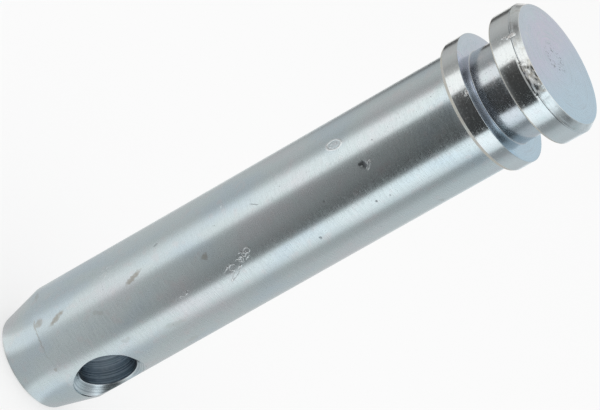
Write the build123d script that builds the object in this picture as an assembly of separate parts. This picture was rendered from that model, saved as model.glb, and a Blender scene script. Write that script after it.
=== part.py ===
from build123d import *
import os
from math import radians, tan

# A headed pin for a machinery linkage, turned in one piece from round bar and cross-drilled.
# Frame: +Z runs from the flat tip end (Z = 0) to the head, on the pin's own axis, and the
# cross hole runs along Y. All sizes are in millimetres.

# ---- the bar and the turned diameters ----
bar_diameter = 28.0  # collar and head keep the full bar
shank_diameter = 24.8  # slides in a 25 mm bore
neck_diameter = 20.2  # bottom of the lock groove
tip_end_diameter = 20.0  # where the taper would meet the flat end

# ---- lengths along the axis, from the tip end to the head ----
tip_to_collar = 111.0  # flat end to the collar's seating face
tip_taper_length = 9.8
collar_thickness = 4.2
groove_width = 7.2
head_thickness = 6.5

# ---- edges ----
tip_edge_radius = 1.2
edge_break = 0.25  # small chamfer on the sharp rims of the collar and the head
neck_fillet = 0.6  # at both ends of the groove
bevel_length = 1.5  # turned bevel round the head's face, along the axis
bevel_depth = 1.0  # and across it

# ---- the cross hole, drilled through and countersunk from both sides ----
hole_diameter = 11.7
hole_from_tip = 16.9
countersink_diameter = 15.0
countersink_angle = 90.0  # included angle of the tool
countersink_depth = 2.2  # from the crest of the shank down to the mouth of the bore
tool_overrun = 5.0  # how far the cutting tools start outside the metal

# ---- derived places ----
bar_radius = bar_diameter / 2
shank_radius = shank_diameter / 2
neck_radius = neck_diameter / 2
tip_end_radius = tip_end_diameter / 2
collar_top = tip_to_collar + collar_thickness
head_underside = collar_top + groove_width
total_length = head_underside + head_thickness
face_radius = bar_radius - bevel_depth


def corner(section, radius, height):
    """The corner of the half section that lies at this radius and height."""
    return section.vertices().sort_by_distance(Vector(radius, 0, height))[0]


def half_section():
    """Half of the pin's lengthwise section, in the XZ plane, with every turned edge."""
    section = make_face(
        Polyline(
            (0, 0, 0),
            (tip_end_radius, 0, 0),
            (shank_radius, 0, tip_taper_length),
            (shank_radius, 0, tip_to_collar),
            (bar_radius, 0, tip_to_collar),
            (bar_radius, 0, collar_top),
            (neck_radius, 0, collar_top),
            (neck_radius, 0, head_underside),
            (bar_radius, 0, head_underside),
            (bar_radius, 0, total_length - bevel_length),
            (face_radius, 0, total_length),
            (0, 0, total_length),
            close=True,
        )
    )
    section = fillet(corner(section, tip_end_radius, 0), tip_edge_radius)
    for height in (collar_top, head_underside):
        section = fillet(corner(section, neck_radius, height), neck_fillet)
    for height in (tip_to_collar, collar_top, head_underside):
        section = chamfer(corner(section, bar_radius, height), edge_break)
    return section


def turned_pin():
    """The pin as it leaves the lathe."""
    return revolve(half_section(), Axis.Z)


def countersunk_drill():
    """What the drill and the countersink take out on one side, along +Z from the pin's axis."""
    bore_radius = hole_diameter / 2
    rim_radius = countersink_diameter / 2
    mouth = shank_radius - countersink_depth
    cone_top = mouth + (rim_radius - bore_radius) / tan(radians(countersink_angle / 2))
    start = max(shank_radius, cone_top) + tool_overrun
    outline = Polyline(
        (0, 0, 0),
        (bore_radius, 0, 0),
        (bore_radius, 0, mouth),
        (rim_radius, 0, cone_top),
        (rim_radius, 0, start),
        (0, 0, start),
        close=True,
    )
    return revolve(make_face(outline), Axis.Z)


def cross_hole():
    """The through hole along Y, countersunk at both ends."""
    hole_axis = Pos(0, 0, hole_from_tip)
    front = hole_axis * Rot(90, 0, 0) * countersunk_drill()
    back = hole_axis * Rot(-90, 0, 0) * countersunk_drill()
    return front + back


def clevis_pin():
    """The whole pin, one solid."""
    pin = turned_pin() - cross_hole()
    pin.label = "clevis_pin"
    return pin


os.makedirs("parts", exist_ok=True)
pin = clevis_pin()
export_step(pin, "parts/clevis_pin.step")
print("volume", round(pin.volume, 1), "mm3, length", round(pin.bounding_box().size.Z, 3), "mm")
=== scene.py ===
from math import cos, hypot, pi, radians, sin, tan

import bpy
from mathutils import Matrix, Vector, noise

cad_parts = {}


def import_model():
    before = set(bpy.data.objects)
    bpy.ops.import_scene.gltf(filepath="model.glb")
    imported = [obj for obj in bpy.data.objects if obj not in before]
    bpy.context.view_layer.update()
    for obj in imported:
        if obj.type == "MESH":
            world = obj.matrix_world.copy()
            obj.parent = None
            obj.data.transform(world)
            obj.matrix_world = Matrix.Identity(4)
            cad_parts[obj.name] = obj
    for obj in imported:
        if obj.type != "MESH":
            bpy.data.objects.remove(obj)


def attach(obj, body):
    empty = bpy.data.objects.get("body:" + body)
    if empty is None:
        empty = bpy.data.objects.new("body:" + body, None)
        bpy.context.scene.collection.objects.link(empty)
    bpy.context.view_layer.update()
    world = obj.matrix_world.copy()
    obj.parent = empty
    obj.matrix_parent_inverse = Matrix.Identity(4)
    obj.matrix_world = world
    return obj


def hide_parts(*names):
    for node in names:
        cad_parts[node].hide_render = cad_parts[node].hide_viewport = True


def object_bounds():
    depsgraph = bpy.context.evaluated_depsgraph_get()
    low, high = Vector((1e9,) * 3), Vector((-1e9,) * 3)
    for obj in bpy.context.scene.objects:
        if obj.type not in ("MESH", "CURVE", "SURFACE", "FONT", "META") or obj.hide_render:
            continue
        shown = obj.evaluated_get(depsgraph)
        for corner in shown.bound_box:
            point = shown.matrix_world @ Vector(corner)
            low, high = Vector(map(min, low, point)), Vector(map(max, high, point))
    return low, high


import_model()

# Looks of a zinc-plated headed pin that stands on its tip end on a pale studio floor.
# Lengths named in millimetres are turned into metres by MM; the rest is in metres.
# A place round the pin is an angle in degrees from -Y, counted towards +X.

MM = 0.001
cad_low, cad_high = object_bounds()

# ---- the pin's sizes in millimetres, the same as the CAD model's but for the collar's rim ----
total_length = cad_high.z / MM
bar_radius = 14.0
shank_radius = 12.4
neck_radius = 10.1
tip_end_radius = 10.0
tip_taper_length = 9.8
head_thickness = 6.5
groove_width = 7.2
collar_thickness = 4.2
rim_break = 0.7  # how high the collar's lower edge is broken
rim_inset = 0.32  # and how far in
bevel_length = 1.5
bevel_depth = 1.0
hole_radius = 5.85
hole_from_tip = 16.9
countersink_radius = 7.5
countersink_depth = 2.2

head_underside = total_length - head_thickness
collar_top = head_underside - groove_width
collar_seat = collar_top - collar_thickness
bevel_start = total_length - bevel_length

# ---- mesh fineness ----
segments = 256
hole_segments = 192
arc_steps = 6
plain_step = 1.2  # ring spacing in millimetres where the pin is smooth
fine_step = 0.3  # and in the heights below, which have knocks in them
hole_step = 0.5  # and in the cross hole
dented_heights = [(50, 60), (81, 91), (114, 115.2), (124.5, total_length)]
sharp_angle = 20  # degrees between faces, above which an edge isn't smoothed over

# ---- where the camera stands, which the marks and the boards also count from ----
camera_azimuth = -55.4  # degrees


# ======================================================================
# Outlines and turned meshes
# ======================================================================

def rounded(corners):
    """The points of an outline with corners (radius, height, rounding), and arcs at the corners."""
    points = [Vector(corners[0][:2])]
    for before, corner, after in zip(corners, corners[1:], corners[2:]):
        here = Vector(corner[:2])
        back = (Vector(before[:2]) - here).normalized()
        ahead = (Vector(after[:2]) - here).normalized()
        if corner[2] == 0:
            points.append(here)
            continue
        half = back.angle(ahead) / 2
        centre = here + (back + ahead).normalized() * (corner[2] / sin(half))
        first = here + back * (corner[2] / tan(half)) - centre
        last = here + ahead * (corner[2] / tan(half)) - centre
        for step in range(arc_steps + 1):
            points.append(centre + first.slerp(last, step / arc_steps) * corner[2])
    points.append(Vector(corners[-1][:2]))
    return points


def divided(points, step_at):
    """The same outline with its long runs cut into steps of about step_at(height)."""
    fine = []
    for start, end in zip(points, points[1:]):
        here = start
        while (end - here).length > 1e-6:
            fine.append(here)
            left = (end - here).length
            step = step_at(here.y)
            here = end if left < 1.5 * step else here + (end - here) * (step / left)
    return fine + [points[-1]]


def turned_mesh(name, outline, slot_of, count=segments, worn=None):
    """A closed mesh of revolution round Z from an outline that starts and ends on the axis."""
    rings = outline[1:-1]
    vertices = [(0, 0, outline[0].y * MM)]
    for point in rings:
        for i in range(count):
            angle = 2 * pi * i / count
            radius = point.x - (worn(point.x, angle, point.y) if worn else 0)
            vertices.append((radius * cos(angle) * MM, radius * sin(angle) * MM, point.y * MM))
    vertices.append((0, 0, outline[-1].y * MM))
    faces, slots = [], []
    for i in range(count):
        j = (i + 1) % count
        faces.append((0, 1 + j, 1 + i))
        slots.append(slot_of(outline[0], outline[1]))
    for ring in range(len(rings) - 1):
        low = 1 + ring * count
        high = low + count
        for i in range(count):
            j = (i + 1) % count
            faces.append((low + i, low + j, high + j, high + i))
            slots.append(slot_of(rings[ring], rings[ring + 1]))
    last = len(vertices) - 1
    top = last - count
    for i in range(count):
        faces.append((top + i, top + (i + 1) % count, last))
        slots.append(slot_of(outline[-2], outline[-1]))
    mesh = bpy.data.meshes.new(name)
    mesh.from_pydata(vertices, [], faces)
    mesh.polygons.foreach_set("material_index", slots)
    mesh.update()
    return mesh


def placed(name, data):
    made = bpy.data.objects.new(name, data)
    bpy.context.scene.collection.objects.link(made)
    return made


SHANK, HEAD, NECK, FACE, BEVEL, RIM, SINK, BORE = range(8)


def pin_outline():
    corners = [
        (0, 0, 0),
        (tip_end_radius, 0, 1.2),
        (shank_radius, tip_taper_length, 0.4),
        (shank_radius, collar_seat, 0.15),
        (bar_radius - rim_inset, collar_seat, 0.1),
        (bar_radius, collar_seat + rim_break, 0.3),
        (bar_radius, collar_top, 0.1),
        (neck_radius, collar_top, 0.25),
        (neck_radius, head_underside, 0.6),
        (bar_radius, head_underside, 0.45),
        (bar_radius, bevel_start - 0.30, 0.05),
        (bar_radius - 0.05, bevel_start - 0.18, 0.05),
        (bar_radius - 0.02, bevel_start - 0.02, 0.05),
        (bar_radius - 0.29, bevel_start + 0.38, 0.05),
        (bar_radius - 0.33, bevel_start + 0.42, 0.05),
        (bar_radius - bevel_depth, total_length, 0.25),
        (0, total_length, 0),
    ]

    def step_at(height):
        flat = abs(height - collar_top) < 0.01 or height > total_length - 0.01
        dented = any(low <= height <= high for low, high in dented_heights)
        return fine_step if dented and not flat else plain_step

    return divided(rounded(corners), step_at)


def pin_slot(start, end):
    low, high = min(start.y, end.y), max(start.y, end.y)
    outside = min(start.x, end.x) > bar_radius - rim_inset - 0.04
    if high < collar_seat + 0.01:
        return FACE if start.x != end.x and high > collar_seat - 0.01 else SHANK
    at_collar = high < collar_seat + rim_break + 0.02
    at_head = head_underside - 0.01 < high < head_underside + 0.46
    if outside and (at_collar or at_head):
        return RIM
    if high - low < 0.01:
        return FACE
    if max(start.x, end.x) < neck_radius + 0.5:
        return NECK
    return BEVEL if low > bevel_start - 0.31 else HEAD


def bump_shape(distance, reach):
    """1 at no distance, falling smoothly to 0 at reach."""
    share = min(abs(distance) / reach, 1.0)
    return (1 - share * share) ** 2


def turn_between(angle, around):
    """The angle from the place called around to a mesh angle, in degrees from -180 to 180."""
    degrees = angle * 180 / pi + 90 - around
    return (degrees + 180) % 360 - 180


# Knocks in the metal: angle round the pin, height, half their height, half their width, depth.
# All but the angle are in millimetres. A knock in the head's bevel or a rim is a chip.
knocks = [
    (-63.4, 88.8, 0.95, 0.85, 0.10),  # the sharp triangular nick in the shank
    (-95.0, 84.3, 1.90, 1.30, 0.03),  # a thumbnail-shaped dent
    (-45.5, 57.3, 1.90, 1.20, 0.04),  # a scraped patch
    (-41.0, 53.3, 1.70, 0.90, 0.03),
    (-71.5, 115.2, 0.40, 0.45, 0.22),  # a chip in the collar's upper edge
    (-96.5, 127.3, 0.75, 0.60, 0.10),  # a smear in the head's side
    (24.5, 128.3, 0.55, 0.50, 0.20),  # a chip in the bevel
]
battered = (-56, 22)  # where the bevel is hammered: its middle and half its width in degrees
beaten_back = 0.45  # how much lower the bevel starts there, in millimetres
beaten_unevenly = 0.35  # and by how much more or less


def wear(radius, angle, height):
    """How far the surface lies inside its true radius there, in millimetres."""
    if radius < neck_radius + 0.5:
        return 0.0
    depth = 0.0
    for around, middle, half_height, half_width, deep in knocks:
        across = radians(turn_between(angle, around)) * radius / half_width
        along = (height - middle) / half_height
        depth += deep * bump_shape(hypot(across, along), 1.0)
    if height > bevel_start - 0.9 and radius > bar_radius - bevel_depth - 0.35:
        off = turn_between(angle, battered[0])
        share = bump_shape(off, battered[1])
        spot = Vector((cos(angle) * radius, sin(angle) * radius, height))
        lowered = (beaten_back + beaten_unevenly * noise.noise(spot * 0.9)) * share
        slope = bevel_depth / (bevel_length + lowered)
        cut = radius - (bar_radius - max(0.0, height - bevel_start + lowered) * slope)
        depth += max(0.0, cut) * min(1.0, share * 4)
        if height > bevel_start - lowered:
            depth += (0.010 + 0.10 * share) * noise.noise(spot * 1.1)
            depth += 0.05 * share * noise.noise(spot * 2.3)
    return depth


def hole_slot(start, end):
    return BORE if max(start.x, end.x) < hole_radius + 0.02 else SINK


def hole_cutter():
    """The countersunk cross hole as a solid, both mouths in one, lying along Y."""
    mouth = shank_radius - countersink_depth
    flare = countersink_radius - hole_radius
    reach = shank_radius + 5
    half = [
        (hole_radius, mouth, 0.15),
        (countersink_radius, mouth + flare, 0.5),
        (countersink_radius, reach, 0),
    ]
    corners = [(0, -reach, 0)]
    corners += [(radius, -height, turn) for radius, height, turn in reversed(half)]
    corners += half + [(0, reach, 0)]
    outline = divided(rounded(corners), lambda height: hole_step)
    mesh = turned_mesh("cross_hole", outline, hole_slot, hole_segments)
    mesh.transform(Matrix.Translation((0, 0, hole_from_tip * MM)) @ Matrix.Rotation(pi / 2, 4, "X"))
    return placed("cross_hole", mesh)


def drilled(pin, cutter, materials):
    """The pin with the cross hole cut through it."""
    for made in (pin, cutter):
        for material in materials:
            made.data.materials.append(material)
    cut = pin.modifiers.new("cross_hole", "BOOLEAN")
    cut.operation = "DIFFERENCE"
    cut.solver = "EXACT"
    cut.object = cutter
    shaped = pin.evaluated_get(bpy.context.evaluated_depsgraph_get())
    mesh = bpy.data.meshes.new_from_object(shaped)
    pin.modifiers.clear()
    pin.data = mesh
    bpy.data.objects.remove(cutter)
    mesh.shade_smooth()
    mesh.set_sharp_from_angle(angle=radians(sharp_angle))
    return pin


# ======================================================================
# Materials
# ======================================================================

def add(tree, kind, inputs=(), **settings):
    """A new node: settings are its properties, inputs are constants or other nodes' outputs."""
    made = tree.nodes.new(kind)
    for name, value in settings.items():
        setattr(made, name, value)
    for socket, value in dict(inputs).items():
        if isinstance(value, bpy.types.NodeSocket):
            tree.links.new(value, made.inputs[socket])
        else:
            made.inputs[socket].default_value = value
    return made


def maths(tree, operation, a, b=0.0, c=0.0):
    return add(tree, "ShaderNodeMath", {0: a, 1: b, 2: c}, operation=operation).outputs[0]


def vector_maths(tree, operation, a, b=(0, 0, 0)):
    return add(tree, "ShaderNodeVectorMath", {0: a, 1: b}, operation=operation).outputs[0]


def length_of(tree, vector):
    return add(tree, "ShaderNodeVectorMath", {0: vector}, operation="LENGTH").outputs["Value"]


def grain(tree, place, scale, detail=2.0, stretch=(1, 1, 1)):
    """Noise from 0 to 1 whose features are about 1/scale metres, divided by stretch along each axis."""
    at = vector_maths(tree, "MULTIPLY", place, stretch)
    return add(tree, "ShaderNodeTexNoise", {"Vector": at, "Scale": scale, "Detail": detail}).outputs[0]


def spread(tree, value, low, high, to_low=0.0, to_high=1.0):
    """The value's range from low to high, moved to another range and held inside it."""
    inputs = {"Value": value, "From Min": low, "From Max": high, "To Min": to_low, "To Max": to_high}
    return add(tree, "ShaderNodeMapRange", inputs, interpolation_type="SMOOTHSTEP").outputs[0]


def blend(tree, share, first, second):
    """A colour between two colours."""
    return add(tree, "ShaderNodeMix", {"Factor": share, 6: first, 7: second}, data_type="RGBA").outputs[2]


def new_material(name):
    material = bpy.data.materials.new(name)
    material.use_nodes = True
    material.node_tree.nodes.clear()
    return material, material.node_tree


def side_share(tree, flat, around, inner, outer):
    """1 within inner degrees of a place round the pin, falling to 0 at outer degrees."""
    angle = radians(around)
    toward = {0: vector_maths(tree, "NORMALIZE", flat), 1: (sin(angle), -cos(angle), 0)}
    facing = add(tree, "ShaderNodeVectorMath", toward, operation="DOT_PRODUCT").outputs["Value"]
    return spread(tree, facing, cos(radians(outer)), cos(radians(inner)))


def mark(tree, place, base_radius, hollow, around, height, half_height, half_width, tilt, strength):
    """An oval mark: strength in its middle, or along its edge if hollow, and 0 outside. In millimetres."""
    angle = radians(around)
    outward = Vector((sin(angle), -cos(angle), 0))
    lean = Matrix.Rotation(radians(tilt), 3, outward)
    across, along = lean @ Vector((cos(angle), sin(angle), 0)), lean @ Vector((0, 0, 1))
    axes = Matrix((across, along, outward)).transposed()
    settings = {
        "Vector": place,
        "Location": outward * base_radius * MM + Vector((0, 0, height * MM)),
        "Rotation": axes.to_euler(),
        "Scale": (half_width * MM, half_height * MM, base_radius * MM),
    }
    local = add(tree, "ShaderNodeMapping", settings, vector_type="TEXTURE").outputs[0]
    away = length_of(tree, local)
    if hollow:
        off_edge = maths(tree, "ABSOLUTE", maths(tree, "SUBTRACT", away, 0.9))
        return spread(tree, off_edge, 0.02, 0.22, strength, 0.0)
    return spread(tree, away, 0.55, 1.1, strength, 0.0)


def marks(tree, place, places, base_radius=shank_radius, hollow=False):
    """The strongest of several marks at each point."""
    total = 0.0
    for each in places:
        total = maths(tree, "MAXIMUM", mark(tree, place, base_radius, hollow, *each), total)
    return total


# Marks in the plating: angle round the pin, height, half their height, half their width, all in
# millimetres but the first, then how they lean in degrees, and how strong they are. The first
# four lists lie on the shank and the last on the collar and the head.
stains = [
    (-74, 9.9, 0.14, 3.2, 0, 0.5), (-60, 9.8, 0.12, 2.6, 4, 0.35), (-85, 9.9, 0.22, 1.5, 0, 0.6),
    (-85.5, 10.9, 1.3, 0.85, 25, 0.6), (-81.5, 15.2, 2.4, 0.62, 21, 0.75), (-78.6, 34.3, 2.5, 0.6, 19, 0.75),
    (-66, 24.1, 1.4, 0.5, -27, 0.22), (-62, 50.2, 1.0, 0.75, 10, 0.6), (-20.5, 36.6, 2.7, 0.7, -10, 0.22),
    (-31, 26.0, 1.2, 0.6, 0, 0.25), (-39.5, 9.7, 0.5, 0.45, 0, 0.5), (-119, 11.0, 0.6, 1.5, 0, 0.3),
    (15, 96.0, 0.45, 1.2, 0, 0.3), (12, 36.0, 1.6, 1.0, 0, 0.2),
]
scrapes = [
    (-45.5, 57.3, 2.0, 1.2, 12, 1.0), (-41, 53.3, 1.8, 1.0, 18, 0.85), (-97, 57.1, 0.3, 1.3, 0, 0.4),
    (-42, 42.0, 2.1, 0.4, 5, 0.4), (-99, 28.5, 1.8, 1.4, 30, 0.35), (-95, 84.3, 1.5, 1.0, -15, 0.5),
]
scratch_edges = [
    (-95, 84.3, 1.9, 1.2, -15, 0.7), (-34.5, 54.0, 2.1, 0.35, 28, 0.8), (-60.6, 89.7, 0.3, 1.0, -40, 0.7),
    (-48.5, 58.6, 0.8, 0.6, 0, 0.7), (-44, 56.6, 0.7, 0.5, 20, 0.6),
]
pits = [
    (-63.2, 88.9, 0.6, 0.9, 10, 0.9), (-64.8, 88.5, 0.8, 0.45, 0, 0.8), (-61.6, 89.2, 0.35, 0.6, -30, 0.8),
    (-23.9, 72.7, 0.32, 0.32, 0, 0.7), (-28.4, 86.9, 0.26, 0.26, 0, 0.7), (-26.8, 89.9, 0.2, 0.2, 0, 0.5),
    (-82, 64.2, 1.2, 0.1, -32, 0.5), (-97, 40.8, 0.7, 0.3, 20, 0.35), (-52, 78.0, 0.25, 0.3, 0, 0.4),
]
head_smears = [
    (-96.4, 127.2, 1.0, 0.55, 20, 1.0), (-97.5, 125.9, 0.7, 0.3, -10, 0.6), (-71.5, 115.0, 0.45, 0.5, 0, 0.8),
    (-70.0, 114.6, 0.3, 0.25, 0, 0.6),
]

stain_colour = (0.47, 0.45, 0.40, 1)
soot_colour = (0.50, 0.46, 0.38, 1)
pit_colour = (0.20, 0.22, 0.24, 1)
scrape_colour = (0.90, 0.92, 0.93, 1)
smear_colour = (0.95, 0.95, 0.94, 1)
dull_colour = (0.55, 0.60, 0.62, 1)
pink_cast = (0.76, 0.74, 0.76, 1)
green_cast = (0.66, 0.78, 0.78, 1)
# painted shade for the grooves of the tool lines round the hole, and painted highlight for their crests
groove_shade_colour = (0.22, 0.26, 0.30, 1)
crest_highlight_colour = (0.92, 0.97, 1.0, 1)
# tints of the painted reflection across the head's faced end, on the camera's right and left sides
face_right_reflection_colour = (0.57, 0.73, 0.81, 1)
face_left_reflection_colour = (0.58, 0.72, 0.78, 1)
face_arc_colour = (0.55, 0.64, 0.71, 1)


def jolted(tree, place, reach):
    """The place shifted unevenly by up to about reach millimetres, which frays a mark's edges."""
    shift = add(tree, "ShaderNodeTexNoise", {"Vector": place, "Scale": 1300.0, "Detail": 3.0}).outputs[1]
    shaken = vector_maths(tree, "SUBTRACT", shift, (0.5, 0.5, 0.5))
    return vector_maths(tree, "ADD", place, vector_maths(tree, "MULTIPLY", shaken, (reach * MM,) * 3))


class Coat:
    """One material as it is built up: the places it is drawn by, its tint, roughness and relief."""

    def __init__(self, name, cross):
        self.material, self.tree = new_material(name)
        tree = self.tree
        self.place = add(tree, "ShaderNodeTexCoord").outputs["Object"]
        if cross:
            at = {"Vector": self.place, "Location": (0, 0, hole_from_tip * MM), "Rotation": (pi / 2, 0, 0)}
            self.place = add(tree, "ShaderNodeMapping", at, vector_type="TEXTURE").outputs[0]
        self.flat = vector_maths(tree, "MULTIPLY", self.place, (1, 1, 0))
        self.radius = length_of(tree, self.flat)
        self.height = add(tree, "ShaderNodeSeparateXYZ", {0: self.place}).outputs["Z"]
        self.turning = add(tree, "ShaderNodeCombineXYZ", {0: self.radius, 1: self.height}).outputs[0]
        self.patches = grain(tree, self.place, 480, 2.0)
        self.tint = self.rough = self.level = None

    def colour(self, share, tint):
        self.tint = blend(self.tree, share, self.tint, tint)

    def roughen(self, share, amount):
        self.rough = maths(self.tree, "MULTIPLY_ADD", share, amount, self.rough)

    def lift(self, share, depth):
        """Raise the relief by share of a depth in millimetres."""
        self.level = maths(self.tree, "MULTIPLY_ADD", share, depth * MM, self.level)


def plated(coat, tints, roughness, lines, ripple, speckle, specks):
    """The plating itself, with its drifting tints, turning lines, slow waves and grains."""
    tree, place = coat.tree, coat.place
    drift = grain(tree, place, 90, 3.0, (1, 1, 0.5))
    hair = grain(tree, place, 420, 3.0, (1, 1, 12))
    ring = grain(tree, coat.turning, 3000, 2.0)
    wave = grain(tree, place, 220, 2.0)
    dots = grain(tree, place, 2600, 2.0)

    coat.tint = blend(tree, spread(tree, drift, 0.35, 0.52), tints[0], tints[1])
    coat.colour(spread(tree, drift, 0.5, 0.68), tints[2])
    coat.colour(spread(tree, hair, 0.3, 0.75, 0.0, 0.12), dull_colour)
    coat.colour(spread(tree, coat.patches, 0.56, 0.72, 0.0, 0.35), pink_cast)
    coat.colour(spread(tree, coat.patches, 0.44, 0.28, 0.0, 0.35), green_cast)

    coat.rough = maths(tree, "ADD", roughness, spread(tree, hair, 0.3, 0.7, -0.03, 0.03))
    coat.rough = maths(tree, "ADD", coat.rough, spread(tree, dots, 0.52, 0.72, 0.0, specks))

    coat.level = maths(tree, "MULTIPLY", ring, lines * MM)
    coat.lift(hair, lines)
    coat.lift(wave, ripple)
    coat.lift(dots, speckle)


def scored_with_painted_light(coat, strength):
    """Tool lines round the hole, with painted shade in their grooves and painted highlights on their crests.
    """
    tree = coat.tree
    tooling = grain(tree, coat.turning, 4200, 2.0)
    streaks = maths(tree, "MULTIPLY_ADD", grain(tree, coat.place, 500, 2.0), 0.25, tooling)
    # painted shade along the grooves, then painted highlight along the crests
    coat.colour(spread(tree, streaks, 0.50, 0.60, 0.8 * strength, 0.0), groove_shade_colour)
    coat.colour(spread(tree, streaks, 0.64, 0.74, 0.0, strength), crest_highlight_colour)


def soiled(coat, strength):
    """Patches of dirt."""
    dirt = spread(coat.tree, grain(coat.tree, coat.place, 700, 3.0), 0.5, 0.75, 0.0, strength)
    coat.colour(dirt, stain_colour)


def hammered(coat):
    """Blows and soot in the battered part of the bevel, and smeared metal on head and collar."""
    tree, place = coat.tree, coat.place
    fully, at_most = 8, 20  # degrees to either side
    around = side_share(tree, coat.flat, battered[0], fully, at_most)
    above = spread(tree, coat.height, (bevel_start - 0.9) * MM, (bevel_start - 0.4) * MM)
    struck = maths(tree, "MULTIPLY", around, above)
    blows = grain(tree, place, 560, 2.0)
    coat.lift(maths(tree, "MULTIPLY", blows, struck), 0.32)
    soot = maths(tree, "MULTIPLY", spread(tree, grain(tree, place, 620, 2.0), 0.5, 0.60), struck)
    coat.colour(maths(tree, "MULTIPLY", soot, 0.5), soot_colour)
    smeared = marks(tree, jolted(tree, place, 0.35), head_smears, bar_radius)
    coat.colour(smeared, smear_colour)
    coat.roughen(smeared, 0.35)
    coat.lift(maths(tree, "MULTIPLY", smeared, blows), 0.3)


def faced(coat):
    """The faced end of the head: a painted reflection that shifts its tint across it towards the camera's
    right and left sides, broken arcs and specks near the middle.
    """
    tree, place = coat.tree, coat.place
    right_side = radians(camera_azimuth)
    across = {0: place, 1: (cos(right_side), sin(right_side), 0)}
    rightward = add(tree, "ShaderNodeVectorMath", across, operation="DOT_PRODUCT").outputs["Value"]
    rightward = maths(tree, "MULTIPLY_ADD", coat.patches, 8 * MM, rightward)
    # painted reflection: the tint changes across the face with the camera's right and left sides
    coat.colour(spread(tree, rightward, 0.0, 12 * MM, 0.0, 0.8), face_right_reflection_colour)
    coat.colour(spread(tree, rightward, -9 * MM, -4 * MM, 0.6, 0.0), face_left_reflection_colour)

    arcs = grain(tree, add(tree, "ShaderNodeCombineXYZ", {0: coat.radius}).outputs[0], 1900, 3.0)
    broken = spread(tree, grain(tree, place, 260, 1.0), 0.4, 0.65, 0.3, 0.9)
    coat.colour(maths(tree, "MULTIPLY", spread(tree, arcs, 0.4, 0.6), broken), face_arc_colour)

    off_centre = 1.3 * MM
    middle = (-cos(right_side) * off_centre, -sin(right_side) * off_centre, total_length * MM)
    off_middle = length_of(tree, vector_maths(tree, "SUBTRACT", place, middle))
    near = spread(tree, off_middle, 0.9 * MM, 1.5 * MM)
    near = maths(tree, "MULTIPLY", near, spread(tree, off_middle, 2.4 * MM, 4.2 * MM, 1.0, 0.0))
    pricks = spread(tree, grain(tree, place, 2300, 1.0), 0.58, 0.66, 0.0, 0.8)
    coat.colour(maths(tree, "MULTIPLY", pricks, near), pit_colour)


def worn_in_use(coat):
    """Stains, scrapes and pits on the shank, and a tan band along the bottom edge of the tip."""
    tree, place = coat.tree, coat.place
    frayed = jolted(tree, place, 1.1)
    # tan in patches, strongest 0.15 mm above the tip's bottom and gone by 0.9 mm
    tip_edge_tan = spread(tree, coat.height, 0.15 * MM, 0.9 * MM, 0.5, 0.0)
    tip_edge_tan = maths(tree, "MULTIPLY", tip_edge_tan, spread(tree, coat.patches, 0.40, 0.55))
    stained = maths(tree, "MAXIMUM", marks(tree, frayed, stains), tip_edge_tan)
    thin = spread(tree, grain(tree, place, 1900, 2.0), 0.3, 0.5, 0.6, 1.0)
    stained = maths(tree, "MULTIPLY", stained, thin)

    off_line = maths(tree, "SUBTRACT", grain(tree, place, 750, 1.0), 0.5)
    loops = spread(tree, maths(tree, "ABSOLUTE", off_line), 0.0, 0.04, 1.0, 0.10)
    scraped = maths(tree, "MULTIPLY", marks(tree, frayed, scrapes), loops)
    edged = marks(tree, jolted(tree, place, 0.3), scratch_edges, hollow=True)
    scraped = maths(tree, "MAXIMUM", scraped, edged)

    flecks = spread(tree, grain(tree, place, 1500, 1.0), 0.77, 0.83, 0.0, 0.4)
    pitted = maths(tree, "MAXIMUM", marks(tree, jolted(tree, place, 0.5), pits), flecks)

    coat.colour(stained, stain_colour)
    coat.colour(scraped, scrape_colour)
    coat.colour(pitted, pit_colour)
    coat.roughen(stained, 0.2)
    coat.lift(scraped, 0.05)
    coat.lift(pitted, -0.05)


def zinc(name, tints, roughness, lines, ripple, speckle, specks=0.0, brushed=0.0, cross=False, layers=()):
    """Plated steel. tints are three colours that drift into each other; lines, ripple and speckle are
    the depths in millimetres of turning lines, of slow waves and of grains in the plating, specks is
    how much rougher its dull specks are, and brushed is how far its gleam follows the turning. cross
    turns everything round the cross hole's axis, and layers are what lies over the plating."""
    coat = Coat(name, cross)
    plated(coat, tints, roughness, lines, ripple, speckle, specks)
    for layer, *strength in layers:
        layer(coat, *strength)
    tree = coat.tree
    bump = add(tree, "ShaderNodeBump", {"Height": coat.level, "Strength": 1.0, "Distance": 1.0}).outputs[0]
    inputs = {"Base Color": coat.tint, "Metallic": 1.0, "Roughness": coat.rough, "Normal": bump}
    if brushed:
        inputs["Anisotropic"] = brushed
        inputs["Anisotropic Rotation"] = 0.25
        inputs["Tangent"] = add(tree, "ShaderNodeTangent", direction_type="RADIAL", axis="Z").outputs[0]
    shader = add(tree, "ShaderNodeBsdfPrincipled", inputs)
    add(tree, "ShaderNodeOutputMaterial", {"Surface": shader.outputs[0]})
    return coat.material


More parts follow.
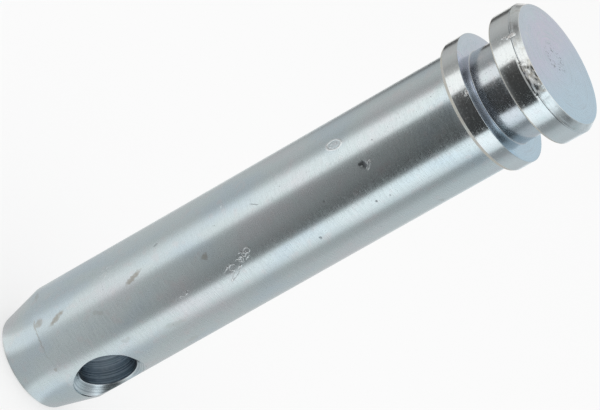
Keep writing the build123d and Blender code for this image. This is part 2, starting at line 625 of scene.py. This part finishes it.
def finishes():
    """The pin's materials in the order of their slots."""
    satin = [(0.66, 0.77, 0.83, 1), (0.71, 0.80, 0.82, 1), (0.74, 0.78, 0.81, 1)]
    bright = [(0.75, 0.80, 0.82, 1), (0.76, 0.81, 0.82, 1), (0.78, 0.81, 0.81, 1)]
    # the neck's tints are darker than the head's; the neck lies in the groove between head and collar
    dull = [(0.58, 0.65, 0.70, 1), (0.62, 0.67, 0.71, 1), (0.65, 0.67, 0.70, 1)]
    violet = [(0.60, 0.67, 0.78, 1), (0.63, 0.66, 0.79, 1), (0.66, 0.64, 0.78, 1)]
    cream = [(0.74, 0.73, 0.66, 1), (0.78, 0.77, 0.71, 1), (0.70, 0.72, 0.70, 1)]
    # the bore's tints are darker than the shank's: painted shade inside the cross hole
    bore_shaded_tints = [(0.46, 0.53, 0.59, 1), (0.50, 0.57, 0.63, 1), (0.52, 0.57, 0.61, 1)]
    return [
        zinc("shank_zinc", satin, 0.27, 0.0007, 0.012, 0.0014, 0.08, brushed=0.6, layers=[(worn_in_use,)]),
        zinc("head_zinc", bright, 0.15, 0.0006, 0.020, 0.0008, 0.12, layers=[(hammered,)]),
        zinc("neck_zinc", dull, 0.20, 0.0010, 0.050, 0.0012, 0.12),
        zinc("face_zinc", violet, 0.18, 0.0010, 0.003, 0.0006, 0.10, layers=[(faced,)]),
        zinc("bevel_zinc", bright, 0.20, 0.0030, 0.010, 0.0010, 0.10, layers=[(soiled, 0.4), (hammered,)]),
        zinc("rim_zinc", cream, 0.42, 0.0010, 0.006, 0.0010),
        # the countersink and the bore carry the tool lines' painted shade and painted highlights
        zinc("sink_zinc", satin, 0.26, 0.0060, 0.004, 0.0010, cross=True, layers=[(scored_with_painted_light, 0.45)]),
        zinc("bore_zinc_shaded", bore_shaded_tints, 0.30, 0.0080, 0.004, 0.0010, cross=True, layers=[(scored_with_painted_light, 0.6)]),
    ]


# ======================================================================
# Stage, camera and light
# ======================================================================

camera_aim = Vector((-0.0006, 0.0008, 0.0679))
camera_elevation = 23.06  # degrees
camera_distance = 1.0088
camera_roll = 60.31  # degrees, which lays the pin slantwise across the frame
camera_lens = 309.5  # millimetres
sensor_width = 36.0  # millimetres


def camera():
    data = bpy.data.cameras.new("camera")
    data.lens = camera_lens
    data.sensor_width = sensor_width
    data.clip_start, data.clip_end = 0.05, 50.0
    made = placed("camera", data)
    side, rise = radians(camera_azimuth), radians(camera_elevation)
    back = Vector((sin(side) * cos(rise), -cos(side) * cos(rise), sin(rise)))
    level = (-back).to_track_quat("-Z", "Y").to_matrix()
    turned = level @ Matrix.Rotation(radians(camera_roll), 3, "Z")
    made.matrix_world = Matrix.Translation(camera_aim + back * camera_distance) @ turned.to_4x4()
    bpy.context.scene.camera = made


def seen_as_background(tree):
    """1 for camera, glossy and transmission rays, 0 for the rays that light things."""
    path = add(tree, "ShaderNodeLightPath").outputs
    shiny = maths(tree, "MAXIMUM", path["Is Glossy Ray"], path["Is Transmission Ray"])
    return maths(tree, "MAXIMUM", path["Is Camera Ray"], shiny)


white = (1, 1, 1, 1)
backdrop_strength = 1.0  # what the camera and shiny surfaces see
daylight_strength = 0.75  # what lights the pin and the floor
floor_half_width = 6.0
floor_grey = (0.93, 0.93, 0.93, 1)
floor_glow_share = 0.6  # how far the camera and shiny surfaces see the floor as glowing white
lamp_place = Vector((-0.4, -0.3, 1.6))
lamp_aim = Vector((0, 0, 0.06))
lamp_diameter = 2.0
lamp_power = 10.0  # watts


def world():
    made = bpy.data.worlds.new("studio")
    bpy.context.scene.world = made
    made.use_nodes = True
    tree = made.node_tree
    tree.nodes.clear()
    shown = add(tree, "ShaderNodeBackground", {"Color": white, "Strength": backdrop_strength}).outputs[0]
    lit = add(tree, "ShaderNodeBackground", {"Color": white, "Strength": daylight_strength}).outputs[0]
    mixed = add(tree, "ShaderNodeMixShader", {0: seen_as_background(tree), 1: lit, 2: shown}).outputs[0]
    add(tree, "ShaderNodeOutputWorld", {"Surface": mixed})


def floor():
    far = floor_half_width
    corners = [(-far, -far, 0), (far, -far, 0), (far, far, 0), (-far, far, 0)]
    mesh = bpy.data.meshes.new("floor")
    mesh.from_pydata(corners, [], [(0, 1, 2, 3)])
    material, tree = new_material("pale_floor")
    paint = add(tree, "ShaderNodeBsdfDiffuse", {"Color": floor_grey}).outputs[0]
    glow = add(tree, "ShaderNodeEmission", {"Color": white, "Strength": 1.0}).outputs[0]
    share = maths(tree, "MULTIPLY", seen_as_background(tree), floor_glow_share)
    mixed = add(tree, "ShaderNodeMixShader", {0: share, 1: paint, 2: glow}).outputs[0]
    add(tree, "ShaderNodeOutputMaterial", {"Surface": mixed})
    mesh.materials.append(material)
    placed("floor", mesh)


def soft_light():
    data = bpy.data.lights.new("overhead", "AREA")
    data.shape = "DISK"
    data.size = lamp_diameter
    data.energy = lamp_power
    made = placed("overhead", data)
    made.location = lamp_place
    made.rotation_euler = (lamp_aim - lamp_place).to_track_quat("-Z", "Y").to_euler()
    made.visible_glossy = False


# How bright the boards round the pin are, by the angle from the camera's side in degrees,
# counted the way that +X comes after -Y. Each set lies at some distance from the pin's foot, out
# along the floor and then up the wall.
boards_peak = 1.2
foot_boards = [(-180, 0.45), (180, 0.45)]
tip_boards = [
    (-180, 1.0), (-150, 0.90), (-120, 0.57), (-70, 0.54), (-56, 0.62), (-48, 0.84), (-30, 0.84),
    (-20, 0.50), (0, 0.48), (20, 0.50), (28, 0.76), (46, 0.80), (56, 0.54), (90, 0.52), (150, 0.64),
    (180, 1.0),
]
near_boards = [
    (-180, 1.0), (-160, 0.95), (-148, 0.60), (-84, 0.53), (-68, 0.60), (-60, 0.82), (-38, 0.80),
    (-29, 0.56), (-14, 0.54), (14, 0.50), (28, 0.48), (36, 0.80), (58, 0.80), (68, 0.57), (110, 0.56),
    (150, 0.58), (180, 1.0),
]
middle_boards = [
    (-180, 1.0), (-160, 0.95), (-150, 0.56), (-134, 0.54), (-94, 0.52), (-88, 0.48), (-80, 0.60),
    (-68, 0.90), (-40, 0.90), (-34, 0.42), (-14, 0.38), (0, 0.34), (24, 0.20), (35, 0.22), (39, 0.95),
    (56, 0.95), (68, 0.74), (78, 0.46), (110, 0.54), (150, 0.58), (180, 1.0),
]
far_boards = [
    (-180, 1.0), (-160, 0.90), (-153, 0.30), (-143, 0.28), (-134, 0.46), (-112, 0.54), (-94, 0.47),
    (-90, 0.42), (-82, 0.52), (-72, 0.80), (-66, 1.05), (-42, 1.08), (-37, 0.34), (-20, 0.25), (0, 0.18),
    (16, 0.08), (34, 0.08), (37, 1.18), (56, 1.12), (70, 0.80), (76, 0.38), (96, 0.42), (104, 0.58),
    (150, 0.58), (166, 0.95), (180, 1.0),
]
head_boards = [
    (-180, 1.0), (-160, 0.90), (-154, 0.10), (-142, 0.08), (-134, 0.46), (-112, 0.52), (-94, 0.44),
    (-88, 0.34), (-80, 0.40), (-73, 0.46), (-70, 1.12), (-41, 1.15), (-38, 0.12), (-20, 0.05), (34, 0.04),
    (37, 1.15), (56, 1.12), (70, 0.85), (75, 0.30), (88, 0.32), (98, 0.52), (116, 0.60), (150, 0.55),
    (166, 0.90), (180, 1.0),
]
level_boards = [
    (-180, 0.80), (-116, 0.50), (-100, 0.40), (-88, 0.10), (-37, 0.05), (35, 0.05), (86, 0.10), (98, 0.40),
    (116, 0.55), (180, 0.80),
]
high_boards = [(-180, 0.74), (-112, 0.48), (-96, 0.06), (96, 0.06), (112, 0.46), (180, 0.74)]
bevel_boards = [
    (-180, 0.74), (-110, 0.54), (-88, 0.52), (-76, 0.66), (-66, 1.10), (-40, 1.20), (-32, 0.66),
    (-16, 0.52), (12, 0.48), (32, 0.44), (42, 0.66), (48, 1.18), (64, 1.12), (74, 0.62), (84, 0.40),
    (110, 0.47), (180, 0.74),
]
top_boards = [(-180, 1.0), (180, 1.0)]
# Each ring's distance in metres, which is its radius and its height added up, its boards, and how
# fully they are split into a warm left and a cool right.
board_rings = [
    (0.0095, foot_boards, 0.0), (0.0102, tip_boards, 0.3), (0.018, tip_boards, 0.3),
    (0.045, near_boards, 0.0), (0.14, middle_boards, 0.0), (0.245, far_boards, 0.0),
    (0.275, head_boards, 1.0), (0.66, head_boards, 1.0), (0.80, level_boards, 1.0),
    (0.90, high_boards, 1.0), (1.01, high_boards, 1.0), (1.08, bevel_boards, 1.0),
    (1.38, bevel_boards, 1.0), (1.60, top_boards, 0.0),
]
cool_from = 15  # degrees, where the left ends and the right begins
warm_tint = (0.02, -0.02)  # how much more red and more blue the left is
cool_tint = (-0.07, 0.04)  # and the right
# The bowl that carries them, as (radius, height) in metres from the pin's foot up the wall.
bowl_outline = [(0.0085, 0.0002), (0.50, 0.002), (0.58, 0.04), (0.62, 0.12), (0.62, 1.2), (0.3, 1.5)]
bowl_segments = 96


def levels(tree, angle, boards, split):
    """The brightness of one ring of boards round the circle, as a colour."""
    ramp = add(tree, "ShaderNodeValToRGB", {0: angle})
    stops = ramp.color_ramp.elements
    while len(stops) < len(boards):
        stops.new(0.5)
    for stop, (side, level) in zip(stops, boards):
        stop.position = 0.5 + side / 360
    for stop, (side, level) in zip(stops, boards):
        more_red, more_blue = cool_tint if side > cool_from else warm_tint
        share = level / boards_peak
        stop.color = (share * (1 + more_red * split), share, share * (1 + more_blue * split), 1)
    return ramp.outputs[0]


def surround():
    """A bowl of pale and dark boards round the pin. Only its metal sees them."""
    count = bowl_segments
    vertices = []
    for radius, height in bowl_outline:
        for i in range(count):
            angle = 2 * pi * i / count
            vertices.append((radius * cos(angle), radius * sin(angle), height))
    faces = []
    for ring in range(len(bowl_outline) - 1):
        low = ring * count
        high = low + count
        for i in range(count):
            j = (i + 1) % count
            faces.append((low + i, low + j, high + j, high + i))
    mesh = bpy.data.meshes.new("boards")
    mesh.from_pydata(vertices, [], faces)
    material, tree = new_material("boards")
    place = add(tree, "ShaderNodeTexCoord").outputs["Object"]
    facing = {"Vector": place, "Rotation": (0, 0, pi / 2 - radians(camera_azimuth))}
    turned = add(tree, "ShaderNodeMapping", facing).outputs[0]
    angle = add(tree, "ShaderNodeTexGradient", {0: turned}, gradient_type="RADIAL").outputs["Fac"]
    radius = length_of(tree, vector_maths(tree, "MULTIPLY", place, (1, 1, 0)))
    way = maths(tree, "ADD", radius, add(tree, "ShaderNodeSeparateXYZ", {0: place}).outputs["Z"])
    reach, boards, split = board_rings[0]
    colour = levels(tree, angle, boards, split)
    for further, boards, split in board_rings[1:]:
        inputs = {"Value": way, "From Min": reach, "From Max": further}
        share = add(tree, "ShaderNodeMapRange", inputs).outputs[0]
        colour = blend(tree, share, colour, levels(tree, angle, boards, split))
        reach = further
    glow = add(tree, "ShaderNodeEmission", {"Color": colour, "Strength": boards_peak}).outputs[0]
    add(tree, "ShaderNodeOutputMaterial", {"Surface": glow})
    mesh.materials.append(material)
    made = placed("boards", mesh)
    made.visible_camera = False
    made.visible_diffuse = False
    made.visible_shadow = False
    made.visible_transmission = False
    made.visible_volume_scatter = False


# ======================================================================
# The scene
# ======================================================================

camera()
world()
floor()
soft_light()
surround()

pin = placed("pin", turned_mesh("pin", pin_outline(), pin_slot, worn=wear))
drilled(pin, hole_cutter(), finishes())
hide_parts("clevis_pin")
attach(pin, "root")

bpy.context.scene.view_settings.view_transform = "Standard"
